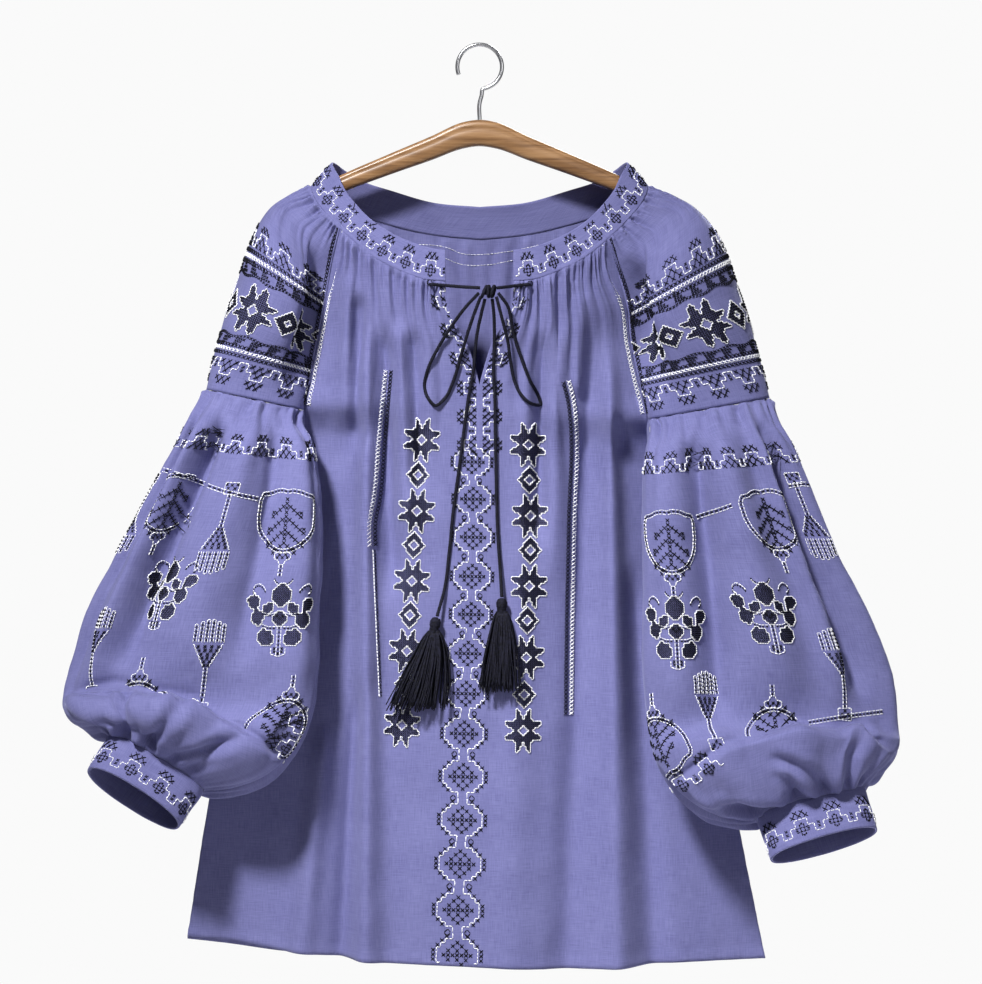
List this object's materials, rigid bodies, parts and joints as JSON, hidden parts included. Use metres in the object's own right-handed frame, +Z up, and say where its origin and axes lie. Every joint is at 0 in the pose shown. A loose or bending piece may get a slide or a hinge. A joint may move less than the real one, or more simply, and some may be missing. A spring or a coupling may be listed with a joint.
{
  "type": "folk blouse on a wooden hanger",
  "caption": "Loose raglan blouse with a round gathered neck, front slit, tie cord with tassels and balloon sleeves gathered into cuffs, held flat on a plain wooden hanger.",
  "frame": {"origin": "seat of the hanger's hook, where it rests on a rail", "axes": "+Z up, +X to the right of a viewer who faces the blouse, and the blouse's front faces -Y"},
  "size_m": [0.6902, 0.1449, 0.7727],
  "materials": {
    "front": "periwinkle chambray, matt",
    "back": "periwinkle chambray, matt",
    "sleeve_upper_left": "periwinkle chambray, matt",
    "sleeve_upper_right": "periwinkle chambray, matt",
    "sleeve_lower_left": "periwinkle chambray, matt",
    "sleeve_lower_right": "periwinkle chambray, matt",
    "cuff_left": "periwinkle chambray, two layers",
    "cuff_right": "periwinkle chambray, two layers",
    "neckband": "periwinkle chambray, two layers",
    "tie_knot": "black twisted cord",
    "tie_tail_left": "black twisted cord",
    "tie_tail_right": "black twisted cord",
    "tie_loop_left": "black twisted cord",
    "tie_loop_right": "black twisted cord",
    "tie_bridge_left": "black twisted cord",
    "tie_bridge_right": "black twisted cord",
    "tassel_left": "black thread",
    "tassel_right": "black thread",
    "hanger_arms": "clear satin lacquer",
    "hanger_hook": "bright wire"
  },
  "bodies": {
    "root": {"front": "front", "back": "back", "sleeve_upper_left": "sleeve_upper_left", "sleeve_upper_right": "sleeve_upper_right", "sleeve_lower_left": "sleeve_lower_left", "sleeve_lower_right": "sleeve_lower_right", "cuff_left": "cuff_left", "cuff_right": "cuff_right", "neckband": "neckband", "tie_knot": "tie_knot", "tie_tail_left": "tie_tail_left", "tie_tail_right": "tie_tail_right", "tie_loop_left": "tie_loop_left", "tie_loop_right": "tie_loop_right", "tie_bridge_left": "tie_bridge_left", "tie_bridge_right": "tie_bridge_right", "tassel_left": "tassel_left", "tassel_right": "tassel_right", "hanger_arms": "hanger_arms", "hanger_hook": "hanger_hook"}
  },
  "joints": []
}
